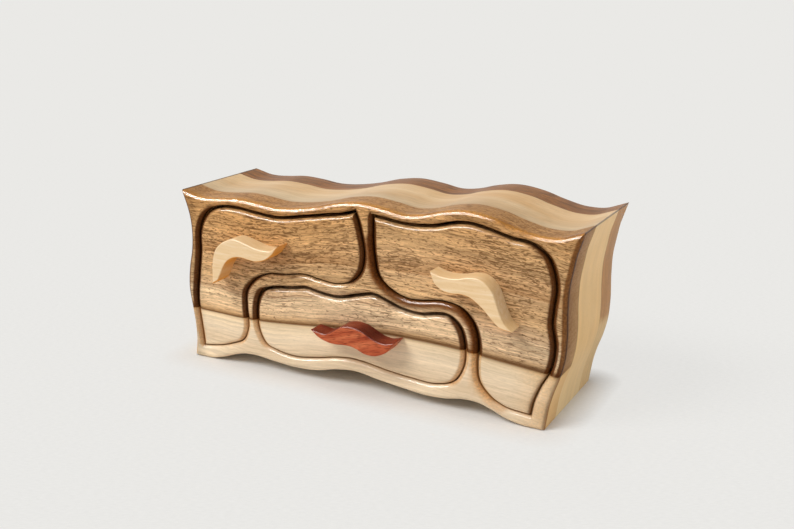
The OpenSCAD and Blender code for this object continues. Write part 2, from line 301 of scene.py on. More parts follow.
@dataclass
class Slab:
    """A board with wavy sides: one outer outline and some holes, from y0 to y1, with rounded edges.

    Where two rounded edges of a narrow web run into each other, they meet in a ridge. The face
    is flat from `verge` edge radii inside its outlines, and a place within `reach` radii is
    searched for ridges. The last five sizes are the net's own clearances and tolerances.
    """

    loops: list[np.ndarray]
    y0: float
    y1: float
    front_r: float = 0.0
    back_r: float = 0.0
    rows: int = 7
    grid: float = 4.0
    verge: float = 1.2
    reach: float = 1.3
    halvings: int = 9
    clearance: float = 0.3
    crest_pitch: float = 0.8
    flat_margin: float = 1.0
    crest_slack: float = 0.02
    row_slack: float = 0.03

    def room(self, outlines: np.ndarray, inwards: np.ndarray, reach: float) -> np.ndarray:
        """How far each point can move into the board and stay nearest to its own edge, by halving.

        Args:
            outlines: the points of all the outlines.
            inwards: the step that moves each of them 1 mm into the board.
            reach: the farthest that is tried.

        Returns:
            The distances.
        """
        low, high = np.zeros(len(outlines)), np.full(len(outlines), reach)
        for _ in range(self.halvings):
            middle = (low + high) / 2
            at = outlines + inwards * middle[:, None]
            clear = distance(at, self.loops) >= middle - self.crest_slack
            low, high = np.where(clear, middle, low), np.where(clear, high, middle)
        return low

    def net(self, radius: float) -> np.ndarray:
        """Points of one face: the outlines, rows beside them, ridges between them and a grid on the flat.

        Row k of n lies r (1 - sin(90 (1 - k / n))) inside its outline, at an even step of the
        angle around the rounded edge.

        Args:
            radius: r, the radius of the face's edges, or 0 for sharp ones.

        Returns:
            The points, one [x, z] a row, which start with those of the outlines.
        """
        outlines = np.concatenate(self.loops)
        if radius <= 0:
            return outlines
        verge = radius * self.verge
        inwards = np.concatenate([-mitre(self.loops[0])] + [mitre(o) for o in self.loops[1:]])
        room = self.room(outlines, inwards, radius * self.reach)
        ridge = room < verge
        crest = (outlines + inwards * room[:, None])[ridge & (room > self.clearance)]
        _, first = np.unique(np.round(crest / self.crest_pitch), axis=0, return_index=True)
        parts = [outlines, crest[np.sort(first)]]
        angles = np.linspace(90, 0, self.rows + 1)[1:]
        for step in [radius * (1 - math.sin(math.radians(a))) for a in angles] + [verge]:
            fits = (room > step + self.clearance) | (~ridge & (room >= step))
            row = (outlines + inwards * step)[fits]
            parts.append(row[distance(row, self.loops) >= step - self.row_slack])
        low, high = self.loops[0].min(axis=0), self.loops[0].max(axis=0)
        x, z = np.meshgrid(*(np.arange(low[k], high[k], self.grid) for k in (0, 1)))
        flat = np.stack([x.ravel(), z.ravel()], axis=1)
        flat = flat[within(flat, self.loops)]
        parts.append(flat[distance(flat, self.loops) > verge + self.flat_margin])
        return np.concatenate(parts)

    def mesh(self, name: str) -> bpy.types.Object:
        """The slab as one closed mesh: two faces, and a wall between them along each outline.

        Args:
            name: the object's name.

        Returns:
            The object.
        """
        verts, faces = [], []
        for y, radius, sign in ((self.y0, self.front_r, 1), (self.y1, self.back_r, -1)):
            points = self.net(radius)
            depth = round_depth(distance(points, self.loops), radius)
            tri = triangles(points, self.loops) + sum(len(v) for v in verts)
            faces.append(tri[:, ::sign])
            verts.append(np.stack([points[:, 0], y + sign * depth, points[:, 1]], axis=1))
        back = len(verts[0])
        for number, pairs in enumerate(stretches(self.loops)):
            a, b = pairs.T
            wall = np.stack([a, back + a, back + b, b], axis=1)
            faces.append(wall if number == 0 else wall[:, ::-1])
        return mesh_object(name, np.concatenate(verts), faces)


# ---------------------------------------------------------------- finishes


def srgb(r: float, g: float, b: float) -> Colour:
    """A colour of 0 to 255 parts as linear values: v / 12.92, or ((v + 0.055) / 1.055)^2.4 above 0.04045."""
    parts = [v / 255 for v in (r, g, b)]
    return tuple(v / 12.92 if v <= 0.04045 else ((v + 0.055) / 1.055) ** 2.4 for v in parts)


def paint(colour: Paint) -> Paint:
    """A field as it is, or a colour of 0 to 255 parts as scene-linear values."""
    return colour if isinstance(colour, Field) else srgb(*colour)


@dataclass(frozen=True)
class Field:
    """A value or colour over a surface: one output of a node tree, for plain sums and products."""

    graph: "Graph"
    socket: bpy.types.NodeSocket

    def __add__(self, other: Value) -> "Field":
        """The sum."""
        return self.graph.math("ADD", self, other)

    def __sub__(self, other: Value) -> "Field":
        """The difference."""
        return self.graph.math("SUBTRACT", self, other)

    def __rsub__(self, other: float) -> "Field":
        """The difference from a number."""
        return self.graph.math("SUBTRACT", other, self)

    def __mul__(self, other: Value) -> "Field":
        """The product."""
        return self.graph.math("MULTIPLY", self, other)

    def __truediv__(self, other: Value) -> "Field":
        """The quotient."""
        return self.graph.math("DIVIDE", self, other)

    def __abs__(self) -> "Field":
        """The value without its sign."""
        return self.graph.math("ABSOLUTE", self)

    __radd__, __rmul__ = __add__, __mul__

    def rise(self, start: Value, end: Value) -> "Field":
        """0 before start, 1 after end, and 3t^2 - 2t^3 between them, t being the share of the way."""
        ends = (self, start, end, 0.0, 1.0)
        return self.graph.node("MapRange", ends, interpolation_type="SMOOTHSTEP")

    def spread(self, low: float, high: float, to_low: float, to_high: float) -> "Field":
        """The value mapped in a straight line from one range to another, held at its ends."""
        return self.graph.node("MapRange", (self, low, high, to_low, to_high))

    def cover(self, over: Paint, factor: Value, blend: str = "MIX") -> "Field":
        """This colour with another laid over it."""
        return self.graph.mix(self, over, factor, blend)

    def shade(self, factor: Value) -> "Field":
        """This colour made darker or lighter by a factor."""
        return self.graph.shade(self, factor)


class Graph:
    """The node tree of a material or the world, with short calls for the nodes that a wood needs."""

    def __init__(self, owner: Union[bpy.types.Material, bpy.types.World], kind: str = "Material") -> None:
        """Empties the tree and starts it with its output and its coordinates.

        Args:
            owner: the material or the world.
            kind: "Material" or "World".
        """
        owner.use_nodes = True
        self.owner, self.tree = owner, owner.node_tree
        self.tree.nodes.clear()
        self.output = self.tree.nodes.new(f"ShaderNodeOutput{kind}")
        self.coordinates = self.tree.nodes.new("ShaderNodeTexCoord")

    def node(
        self, kind: str, inputs: Union[Sequence, dict], output: Union[int, str] = 0, **settings: str
    ) -> Field:
        """One output of a new node.

        Args:
            kind: its type, without "ShaderNode".
            inputs: a field, number or vector for each input, in order or by name.
            output: number or name of the output.
            settings: its other settings.

        Returns:
            The output.
        """
        made = self.tree.nodes.new(f"ShaderNode{kind}")
        for key, value in settings.items():
            setattr(made, key, value)
        for key, value in inputs.items() if isinstance(inputs, dict) else enumerate(inputs):
            if isinstance(value, Field):
                self.tree.links.new(value.socket, made.inputs[key])
            else:
                colour = made.inputs[key].type == "RGBA"
                made.inputs[key].default_value = (*value, 1.0) if colour else value
        return Field(self, made.outputs[output])

    def math(self, operation: str, *values: Value) -> Field:
        """The result of a Math node."""
        return self.node("Math", values, operation=operation)

    def coordinate(self, name: str) -> Field:
        """A coordinate of the tree's own kind: Object, Normal or Generated."""
        return Field(self, self.coordinates.outputs[name])

    def attribute(self, name: str) -> Field:
        """A value that is stored on the mesh, or 0 where the mesh has none of that name."""
        return self.node("Attribute", (), "Fac", attribute_name=name)

    def ray(self, kind: str) -> Field:
        """1 for rays of a kind: Camera, Glossy or Transmission."""
        return self.node("LightPath", (), f"Is {kind} Ray")

    def split(self, vector: Field) -> tuple[Field, Field, Field]:
        """The three parts of a vector."""
        parts = self.node("SeparateXYZ", (vector,)).socket.node.outputs
        return tuple(Field(self, part) for part in parts)

    def position(self, turn: Place = (0, 0, 0)) -> tuple[Field, Field, Field]:
        """X, Y and Z of a point on its object in millimetres, turned by degrees about each of them."""
        place = {"Vector": self.coordinate("Object"), "Rotation": [math.radians(a) for a in turn]}
        return self.split(self.node("Mapping", place | {"Scale": (1 / MM,) * 3}, vector_type="POINT"))

    def facing(self) -> tuple[Field, Field, Field]:
        """The three parts of the direction in which the surface faces."""
        return self.split(self.coordinate("Normal"))

    def noise(
        self, at: Sequence[Value], scale: Place, detail: float = 2.0, rough: float = 0.5, twist: float = 0.0
    ) -> Field:
        """Soft noise around 0.5.

        Args:
            at: the place.
            scale: its cells in a millimetre along each direction.
            detail: how many finer layers it has.
            rough: how strong these are.
            twist: how far it is bent by itself.

        Returns:
            The noise.
        """
        place = self.node("CombineXYZ", [v * s for v, s in zip(at, scale)])
        inputs = {"Vector": place, "Scale": 1.0, "Detail": detail, "Roughness": rough, "Distortion": twist}
        return self.node("TexNoise", inputs, "Fac", noise_dimensions="3D")

    def specks(
        self, at: Sequence[Value], pitch: Place, low: Value, high: Value, detail: float = 1.5
    ) -> Field:
        """1 in small marks and 0 between them: noise with a pitch in millimetres, cut from low to high."""
        return self.noise(at, tuple(1 / p for p in pitch), detail, 0.55).rise(low, high)

    def ramp(self, value: Field, stops: Sequence[tuple[float, Colour]], low: float, high: float) -> Field:
        """Colours along a value.

        Args:
            value: the value.
            stops: where each colour stands, and the colour.
            low: the value where the ramp starts.
            high: the value where it ends.

        Returns:
            The colour.
        """
        made = self.node("ValToRGB", (value.spread(low, high, 0.0, 1.0),))
        elements = made.socket.node.color_ramp.elements
        while len(elements) < len(stops):
            elements.new(0.5)
        for element, (at, colour) in zip(elements, stops):
            element.position = (at - low) / (high - low)
            element.color = (*srgb(*colour), 1.0)
        return made

    def curve(self, value: Field, knots: Knots, size: float) -> Field:
        """A smooth curve through knots.

        Args:
            value: what it runs over, from -size to size.
            knots: value and height of each knot.
            size: the greatest height, too.

        Returns:
            The height.
        """
        made = self.node("FloatCurve", {"Value": value.spread(-size, size, 0.0, 1.0)})
        mapping = made.socket.node.mapping
        points = mapping.curves[0].points
        while len(points) < len(knots):
            points.new(0.5, 0.5)
        for point, (x, height) in zip(points, knots):
            point.location = ((x + size) / (2 * size), height / size)
        mapping.update()
        return made * size

    def mix(self, a: Paint, b: Paint, factor: Value, blend: str = "MIX") -> Field:
        """Colour a with colour b laid over it."""
        inputs = {"Factor": factor, "A": paint(a), "B": paint(b)}
        return self.node("Mix", inputs, "Result", data_type="RGBA", blend_type=blend)

    def shade(self, colour: Paint, factor: Value) -> Field:
        """A colour made darker or lighter by a factor."""
        return self.node("VectorMath", {0: paint(colour), "Scale": factor}, operation="SCALE")

    def choose(self, factor: Field, a: Field, b: Field) -> Field:
        """Shader a where the factor is 0 and shader b where it is 1."""
        return self.node("MixShader", (factor, a, b))

    def surface(
        self, colour: Field, roughness: Value, height: Field, depth: float, level: float = 0.5
    ) -> Field:
        """The shader of a wood or a cloth.

        Args:
            colour: its colour.
            roughness: its roughness.
            height: the height of its grain, from 0 to 1.
            depth: what a height of 1 measures, in millimetres.
            level: strength of its shine, 0.5 for plain lacquer.

        Returns:
            The shader.
        """
        bump = self.node("Bump", {"Height": height, "Distance": depth * MM, "Strength": 1.0})
        inputs = {"Base Color": colour, "Roughness": roughness, "IOR": 1.5, "Normal": bump}
        return self.node("BsdfPrincipled", inputs | {"Specular IOR Level": level})

    def close(self, shader: Field) -> Union[bpy.types.Material, bpy.types.World]:
        """Ends the tree with a shader, and gives back the material or world."""
        self.tree.links.new(shader.socket, self.output.inputs["Surface"])
        return self.owner


@dataclass(frozen=True)
class HornLine:
    """The dark line at each of the block's two sharp upper corners, on all three boards."""

    corners: Knots = ((-161.0, 135.5), (161.0, 139.5))
    start: float = 0.7
    end: float = 1.8
    strength: float = 0.75
    corner_line_colour: Colour = (66, 42, 24)

    def over(self, colour: Field, x: Field, z: Field) -> Field:
        """A board's colour with the lines: strength (1 - rise), over the distance from the corner.

        Args:
            colour: the board's colour.
            x: place along the front.
            z: height.

        Returns:
            The colour.
        """
        for corner_x, corner_z in self.corners:
            dx, dz = x - corner_x, z - corner_z
            far = colour.graph.math("SQRT", dx * dx + dz * dz).rise(self.start, self.end)
            colour = colour.cover(self.corner_line_colour, (1.0 - far) * self.strength)
        return colour


class Spot:
    """A point of the front board: its place, the direction that it faces and the wood that it is in.

    `back` is its depth behind the face, `above` its height above the border of the two woods and
    `growth` that height as the tree bent it, and `under_crest` its depth below the top. `up` is 1
    where it faces up, `heart` in the heartwood, and `gloss` on the polished front and its edge.
    """

    def __init__(self, g: Graph, board: "FrontWalnut") -> None:
        """Works all of them out.

        Args:
            g: the material's node tree.
            board: the board.
        """
        self.g = g
        self.x, self.y, self.z = at = g.position()
        self.nx, self.ny, nz = g.facing()
        self.back, self.up = self.y - board.face_y, nz.rise(0.2, 0.8)
        self.under_crest = g.curve(self.x, board.crest, HALF_WIDTH) - self.z
        self.above = self.z - g.curve(self.x, board.border, HALF_WIDTH)
        broad = (g.noise(at, (0.009, 0.02, 0.016), 1.0) - 0.5) * 22.0 * abs(self.above).rise(2.0, 26.0)
        fine = (g.noise(at, (0.06, 0.1, 0.06)) - 0.5) * 3.6 * abs(self.above).rise(0.5, 8.0)
        self.growth = self.above + broad + fine
        self.heart = self.above.rise(-0.4, 0.4)
        self.sap = 1.0 - self.heart
        self.ripple = (g.noise(at, (0.09, 0.09, 0.09), 3.0) - 0.5) * 9.0
        satin_from, satin_to = self.up * 0.6 + (board.edge_r + 0.2), self.up * 5.0 + (board.edge_r + 0.9)
        self.satin = (self.back + self.ripple * self.up).rise(satin_from, satin_to)
        self.gloss = 1.0 - self.satin
        self.flecks = g.noise(at, (0.5, 0.8, 0.8), 2.0, 0.65)
        self.mottle = self.flecks.spread(0.36, 0.64, 0.7, 1.3)

    def woods(self, heart: Value, sap: Value) -> Field:
        """One value in the heartwood and another in the sapwood."""
        return heart * self.heart + sap * self.sap


@dataclass(frozen=True)
class FrontWalnut:
    """The front board: brown heartwood over a pale sapwood edge, glossy in front and satin behind.

    The border between the two woods is a height over X, and so is the crest of the block. Every
    colour of the layers is given at a height above the border, as the board's annual layers
    follow it. Oil has darkened the ends of the grain. The walls of the saw gaps near the face are
    darkened with painted shade, and the wood is darker in a band beside the right pocket.
    """

    face_y: float
    edge_r: float
    border: Knots = (
        (-161, 41.5), (-130, 40.5), (-101, 40), (-60, 42.5), (-30, 45.5), (0, 47.5), (35, 48.5),
        (80, 47), (100, 45), (125, 42.8), (140, 41.2), (161, 38.5),
    )
    crest: Knots = (
        (-161, 135.5), (-139, 131.5), (-110, 133.5), (-76, 130.5), (-40, 134.5), (-2, 141.5), (33, 137),
        (60, 142), (78, 144.5), (98, 142), (132, 133.5), (149, 135), (161, 139.5),
    )
    layers: tuple[tuple[float, Colour], ...] = (
        (-50, (218, 192, 153)), (-36, (224, 202, 171)), (-24, (215, 190, 157)), (-12, (226, 204, 173)),
        (-3, (224, 200, 165)), (-0.4, (212, 182, 142)), (0.4, (158, 116, 74)), (3.5, (196, 156, 110)),
        (9, (212, 175, 130)), (18.6, (218, 184, 140)), (19.6, (174, 134, 92)), (28, (206, 166, 118)),
        (45.8, (200, 163, 120)), (46.8, (176, 136, 94)), (58, (208, 168, 122)), (72, (208, 167, 118)),
        (88, (200, 156, 106)), (104, (178, 134, 84)),
    )
    pale_band: Colour = (238, 208, 172)
    ring: Colour = (110, 72, 38)
    pore: Colour = (84, 50, 22)
    border_stain: Colour = (82, 52, 30)
    upper_tint: Colour = (246, 235, 218)
    amber: Colour = (184, 126, 56)
    corner_amber: Colour = (196, 146, 84)
    lee_sap: Colour = (196, 140, 80)
    lee_heart: Colour = (102, 56, 18)
    soaked_sap: Colour = (186, 130, 66)
    soaked_heart: Colour = (82, 42, 10)
    rim_sap: Colour = (104, 66, 32)
    rim_heart: Colour = (118, 74, 36)
    # Painted shade in the saw gaps, for the sapwood and for the heartwood.
    gap_shade_sap: Colour = (146, 98, 48)
    gap_shade_heart: Colour = (44, 20, 6)
    side_sap: Colour = (226, 184, 122)
    side_front: Colour = (132, 84, 32)
    side_back: Colour = (168, 124, 68)

    def grown(self, s: Spot) -> Field:
        """The annual layers with a paler band low in the heartwood, broad streaks and thin rings.

        A ring is where a count of the layers, folded back at each 0.5, comes near 0.5.

        Args:
            s: the point.

        Returns:
            Its colour so far.
        """
        g, at = s.g, (s.x, s.y, s.growth)
        band = s.growth.rise(1, 9) * (1.0 - s.growth.rise(18, 34)) * s.x.spread(-110, -60, 0.6, 1.0)
        colour = g.ramp(s.growth, self.layers, -50, 110).cover(self.pale_band, band * 0.42)
        streak = g.noise(at, (0.009, 0.25, 0.36), 4.0, 0.65)
        heart = streak.spread(0.3, 0.7, 0.73, 1.30) * s.x.spread(60, 140, 1.0, 0.9)
        sap = streak.spread(0.3, 0.7, 0.86, 1.12) * s.x.spread(50, 110, 1.0, 0.94)
        # Painted shade: the last factor darkens the far left end, where the post rounds away.
        left = s.x.spread(-125, -90, 1.10, 1.0) * s.x.spread(-152, -142, 0.70, 1.0)
        count = s.growth * 0.27 + g.noise(at, (0.045, 0.08, 0.04)) * 1.6
        ring = g.math("PINGPONG", count, 0.5).rise(0.33, 0.49) * g.specks(at, (45.0, 9.0, 9.0), 0.40, 0.60)
        return colour.shade(s.woods(heart, sap) * left).cover(self.ring, ring * s.woods(0.55, 0.12))

    def pored(self, s: Spot, colour: Field) -> tuple[Field, Field]:
        """Fibres, grit and dark pores along the grain.

        Args:
            s: the point.
            colour: its colour so far.

        Returns:
            The colour, and the pores as 1 in their marks.
        """
        g = s.g
        line = s.above + g.noise((s.x, s.y, s.above), (0.05, 0.1, 0.04), 1.0) * 3.0
        at = (s.x, s.y, line)
        fibre = g.noise(at, (0.018, 0.4, 0.85), 2.0, 0.6)
        grit = g.noise(at, (0.22, 0.9, 1.15), 3.0, 0.7)
        for tone in (
            s.woods(fibre.spread(0.32, 0.68, 0.80, 1.14), fibre.spread(0.3, 0.7, 0.92, 1.07)),
            s.woods(grit.spread(0.3, 0.7, 0.74, 1.20), grit.spread(0.3, 0.7, 0.95, 1.04)),
        ):
            colour = colour.shade(tone)
        few = g.noise((s.x, s.y, s.above), (0.03, 0.08, 0.06)).spread(0.35, 0.65, 0.60, 0.52)
        few = few + s.above.spread(8, 50, 0.06, -0.01) + s.x.spread(60, 120, 0.0, -0.015)
        long = g.specks(at, (9.0, 1.6, 0.95), few, few + 0.14, 1.0)
        short = g.specks((s.x, s.y, line + 37.3), (2.8, 1.2, 0.85), few, few + 0.14, 1.0)
        pores = g.math("MAXIMUM", long, short)
        return colour.cover(self.pore, pores * s.woods(0.70, 0.1)), pores

    def lined(self, s: Spot, colour: Field) -> Field:
        """The dark line on the border, thin on the left and wide on the right, and warmer wood high above it.

        The line's strength is exp(-(height / width)^2).

        Args:
            s: the point.
            colour: its colour so far.

        Returns:
            The colour.
        """
        width = s.x.spread(-150, 150, 0.7, 2.3)
        height = (s.above - width * 0.6) / width
        colour = colour.cover(self.border_stain, s.g.math("EXPONENT", height * height * -1.0) * 0.75)
        warm = s.above.rise(26, 60) * s.x.spread(-40, 20, 0.9, 0.3)
        return colour.cover(self.upper_tint, warm, "MULTIPLY")

    def oiled(self, s: Spot, colour: Field) -> Field:
        """Gold on the glossy crest, a duller satin top, an amber right corner, and darker wood.

        The darker wood is a band beside the right pocket, and the end grain that the rounded edges show.

        Args:
            s: the point.
            colour: its colour so far.

        Returns:
            The colour.
        """
        g = s.g
        gold = s.heart * s.up * s.under_crest.rise(8.0, 4.5) * (s.gloss * 0.5 + 0.35)
        colour = colour.cover(g.shade(self.amber, s.mottle), gold).shade(1.0 - s.up * s.satin * 0.12)
        colour = colour.cover(g.shade(self.corner_amber, s.mottle), s.x.rise(112, 142) * s.sap * 0.4)
        # A darker band beside the right pocket, as strong as the "lee" value stored on the mesh.
        dark_band = g.attribute("lee") * s.gloss * (s.heart * 0.5 + 0.42)
        colour = colour.cover(g.mix(self.lee_sap, self.lee_heart, s.heart).shade(s.mottle), dark_band)
        late = s.x.rise(96, 118) * s.sap * 0.35
        end = abs(s.nx).rise(late + 0.12, late + 0.5) * s.gloss
        sap = g.mix(self.soaked_sap, self.rim_sap, s.x.rise(104, 126))
        heart = g.mix(self.soaked_heart, self.rim_heart, s.x.rise(147.5, 150.5))
        return colour.cover(g.mix(sap, heart, s.heart).shade(s.mottle), end * (s.heart * 0.4 + 0.55))

    def sawn(self, s: Spot, colour: Field) -> Field:
        """Painted shade on the walls of the saw gaps near the face, and the end grain on the two sides of the
        block.

        Args:
            s: the point.
            colour: its colour so far.

        Returns:
            The colour.
        """
        g = s.g
        # Painted shade for the saw gaps: walls that don't face the front, about 4.5 to 7 mm behind it and
        # below the crest, are darkened.
        wall = s.under_crest.rise(3.0, 5.0) * abs(s.ny).rise(0.55, 0.1)
        gap_shade = wall * s.back.rise(self.edge_r + 3.0, self.edge_r + 0.5)
        colour = colour.cover(g.mix(self.gap_shade_sap, self.gap_shade_heart, s.heart), gap_shade * 0.8)
        depth = (s.back + s.ripple * 0.6).spread(7, 24, 0.0, 1.0)
        end = g.mix(self.side_sap, g.mix(self.side_front, self.side_back, depth), s.heart)
        return colour.cover(end, abs(s.nx).rise(0.5, 0.9) * s.satin * 0.75)

    def material(self) -> bpy.types.Material:
        """The finish as a material.

        Returns:
            The material.
        """
        g = Graph(bpy.data.materials.new("walnut_front"))
        s = Spot(g, self)
        colour, pores = self.pored(s, self.grown(s))
        colour = self.sawn(s, self.oiled(s, self.lined(s, colour)))
        rough = s.gloss * 0.18 + s.satin * 0.38 + pores * 0.1
        height = pores * -0.4 + s.flecks * 0.3
        return g.close(g.surface(HornLine().over(colour, s.x, s.z), rough, height, 0.025, 0.05))


@dataclass(frozen=True)
class PaleBoard:
    """The thick middle board: plain pale wood with soft streaks, satin, a little greyer in front, with
    painted light on the end grain of its sides.
    """

    soft: Colour = (192, 150, 96)
    light: Colour = (208, 178, 134)
    # The sides' end grain: its own golden colour lifted with painted light for the dim right side, and lifted
    # more at the foot against the floor's shade.
    end: Colour = (236, 193, 126)
    foot: Colour = (248, 220, 168)
    fleck: Colour = (150, 104, 60)
    joint_y: Point = (-24.0, 14.0)

    def material(self) -> bpy.types.Material:
        """The finish as a material.

        Returns:
            The material.
        """
        g = Graph(bpy.data.materials.new("pale_middle"))
        x, y, z = at = g.position()
        broad = g.noise(at, (0.008, 0.045, 0.045), 3.0, 0.55)
        streak = g.noise(at, (0.01, 0.5, 0.5), 3.0, 0.6)
        rings = g.noise(at, (0.05, 0.16, 0.03), 3.0)
        fleck = g.specks(at, (3.5, 0.9, 0.9), 0.60, 0.74, 1.0)
        colour = g.ramp(broad, ((0.32, self.soft), (0.68, self.light)), 0.32, 0.68)
        colour = colour.shade(streak.spread(0.3, 0.7, 0.9, 1.08) * y.spread(*self.joint_y, 0.80, 1.15))
        # Painted light: the end grain turns lighter towards the foot.
        end = g.mix(self.end, self.foot, z.spread(0, 55, 1.0, 0.0)).shade(rings.spread(0.3, 0.7, 0.93, 1.05))
        colour = colour.cover(end, abs(g.facing()[0]).rise(0.5, 0.95) * 0.85)
        colour = HornLine().over(colour.cover(self.fleck, fleck * 0.14), x, z)
        return g.close(g.surface(colour, 0.4, streak + fleck * -0.3, 0.03, 0.16))


@dataclass(frozen=True)
class RearWalnut:
    """The rear board: plain brown walnut that fades to pale sapwood near the bottom, satin."""

    layers: tuple[tuple[float, Colour], ...] = (
        (0, (222, 184, 128)), (38, (220, 182, 126)), (48, (192, 150, 98)), (56, (158, 112, 66)),
        (84, (144, 94, 46)), (108, (134, 84, 36)), (140, (138, 88, 38)),
    )
    heart_from: Point = (46.0, 56.0)
    pore: Colour = (84, 54, 32)
    end_sap: Colour = (228, 194, 140)
    end_heart: Colour = (192, 139, 81)

    def material(self) -> bpy.types.Material:
        """The finish as a material.

        Returns:
            The material.
        """
        g = Graph(bpy.data.materials.new("walnut_rear"))
        x, y, z = at = g.position()
        level = z + (g.noise(at, (0.01, 0.04, 0.04)) - 0.5) * 22.0
        heart = level.rise(*self.heart_from)
        streak = g.noise((x, y, level), (0.008, 0.3, 0.3), 4.0, 0.65)
        cells = g.noise(at, (0.1, 0.35, 0.05), 4.0, 0.6).spread(0.3, 0.7, 0.82, 1.16)
        pores = g.specks((x, y, level), (6.5, 0.9, 0.9), 0.52, 0.66)
        tone = streak.spread(0.32, 0.68, 0.56, 1.44) * heart
        tone = tone + streak.spread(0.3, 0.7, 0.94, 1.05) * (1.0 - heart)
        colour = g.ramp(level, self.layers, 0, 140).shade(tone)
        colour = colour.cover(self.pore, pores * (heart * 0.45 + 0.05))
        end = g.mix(self.end_sap, self.end_heart, heart).shade(cells)
        colour = colour.cover(end, abs(g.facing()[0]).rise(0.5, 0.95) * 0.75)
        colour = HornLine().over(colour, x, z)
        return g.close(g.surface(colour, 0.42, streak + pores * -0.5, 0.03, 0.08))


@dataclass(frozen=True)
class PaleHandle:
    """Cream maple of the two upper handles, satin, golden on top, and deep gold underneath, partly end grain
    and partly painted shade.
    """

    streaks: tuple[tuple[float, Colour], ...] = (
        (0.3, (216, 182, 136)), (0.5, (224, 193, 150)), (0.7, (230, 204, 168)),
    )
    fleck: Colour = (176, 126, 76)
    top: Colour = (226, 186, 126)
    underside: Colour = (222, 144, 46)

    def material(self) -> bpy.types.Material:
        """The finish as a material.

        Returns:
            The material.
        """
        g = Graph(bpy.data.materials.new("pale_handle"))
        at, nz = g.position(), g.facing()[2]
        streak = g.noise(at, (0.03, 0.3, 0.3), 3.0, 0.6, 0.4)
        fleck = g.specks(at, (2.5, 0.8, 0.8), 0.58, 0.74, 1.0)
        colour = g.ramp(streak, self.streaks, 0.3, 0.7).cover(self.fleck, fleck * 0.12)
        colour = colour.cover(self.top, nz.rise(0.2, 0.8) * 0.5)
        # Deep gold where the handle faces down: partly its end grain, partly painted shade under the handle.
        colour = colour.cover(self.underside, (nz * -1.0).rise(0.1, 0.7) * 0.92)
        return g.close(g.surface(colour, 0.46, streak + fleck * -0.3, 0.03, 0.08))


@dataclass(frozen=True)
class RedHandle:
    """Red-brown padauk of the centre handle, satin with fine dark vessel lines, dark on top: partly its
    figure, partly painted shade, with more painted shade where the top faces right.
    """

    tilt: float = 14.0
    bands: tuple[tuple[float, Colour], ...] = (
        (0.3, (138, 56, 34)), (0.5, (176, 86, 54)), (0.7, (198, 110, 72)),
    )
    vessel: Colour = (84, 26, 14)
    top: Colour = (100, 32, 14)
    painted_shade_right_slope: Colour = (52, 16, 10)

    def material(self) -> bpy.types.Material:
        """The finish as a material.

        Returns:
            The material.
        """
        g = Graph(bpy.data.materials.new("red_handle"))
        at, (nx, _, nz) = g.position(turn=(0, self.tilt, 0)), g.facing()
        band = g.noise(at, (0.03, 0.25, 0.25), 3.0, 0.6, 0.3)
        vessel = g.specks(at, (7.0, 0.7, 0.7), 0.50, 0.64)
        top = nz.rise(0.15, 0.6)
        colour = g.ramp(band, self.bands, 0.3, 0.7).cover(self.vessel, vessel * 0.55)
        # Darker on top, partly the wood's figure and partly painted shade; painted shade is added where the
        # top faces right.
        colour = colour.cover(self.top, top * 0.7)
        colour = colour.cover(self.painted_shade_right_slope, top * nx.rise(0.05, 0.45) * 0.6)
        return g.close(g.surface(colour, 0.34, band + vessel * -1.0, 0.04, 0.04))


@dataclass(frozen=True)
class BeechDowel:
    """Bare turned beech, with small ray flecks."""

    wood: Colour = (222, 184, 136)
    ray_fleck: Colour = (190, 144, 98)

    def material(self) -> bpy.types.Material:
        """The finish as a material.

        Returns:
            The material.
        """
        g = Graph(bpy.data.materials.new("dowel_beech"))
        fleck = g.noise(g.position(), (1.4, 0.3, 1.4))
        colour = g.mix(self.wood, self.ray_fleck, fleck.rise(0.45, 0.65))
        return g.close(g.surface(colour, 0.6, fleck, 0.05))


class Finish(Enum):
    """The finishes, by the name of their slot in the record."""

    WALNUT_FRONT = "walnut_front"
    PALE_MIDDLE = "pale_middle"
    WALNUT_REAR = "walnut_rear"
    PALE_HANDLE = "pale_handle"
    RED_HANDLE = "red_handle"
    DOWEL_BEECH = "dowel_beech"


# ---------------------------------------------------------------- the box


@dataclass(frozen=True)
class Block:
    """Sizes that all the pieces share, in millimetres."""

    depth: float = 100.0
    front_board: float = 25.0
    rear_board: float = 25.0
    back_panel: float = 12.0
    edge_r: float = 4.0
    back_r: float = 1.0
    saw_gap: float = 1.2
    floor_gap: float = 0.3
    drawer_front: float = 10.0
    drawer_back: float = 7.0
    drawer_wall: float = 7.0
    end_gap: float = 0.5
    front_recess: float = 0.5
    handle: float = 14.0
    handle_r: float = 0.9
    spacing: float = 1.3

    @property
    def front_y(self) -> float:
        """Face of the carcass."""
        return -(self.depth + self.front_recess - self.handle) / 2

    @property
    def middle_y(self) -> float:
        """Glue line between the front board and the middle board."""
        return self.front_y + self.front_board

    @property
    def rear_y(self) -> float:
        """Glue line between the middle board and the rear board."""
        return self.front_y + self.depth - self.rear_board

    @property
    def panel_y(self) -> float:
        """Glue line of the back panel."""
        return self.front_y + self.depth - self.back_panel

    @property
    def back_y(self) -> float:
        """Back of the box."""
        return self.front_y + self.depth

    @property
    def drawer_y(self) -> float:
        """Face of the drawers."""
        return self.front_y + self.front_recess

    @property
    def hollow_y(self) -> float:
        """Front of the hollow in a drawer."""
        return self.drawer_y + self.drawer_front

    @property
    def drawer_end_y(self) -> float:
        """Back of a drawer."""
        return self.panel_y - self.end_gap

    @property
    def hollow_end_y(self) -> float:
        """Back of the hollow in a drawer."""
        return self.drawer_end_y - self.drawer_back

    @property
    def drop(self) -> float:
        """How far a drawer sinks on to the floor of its pocket."""
        return self.saw_gap - self.floor_gap


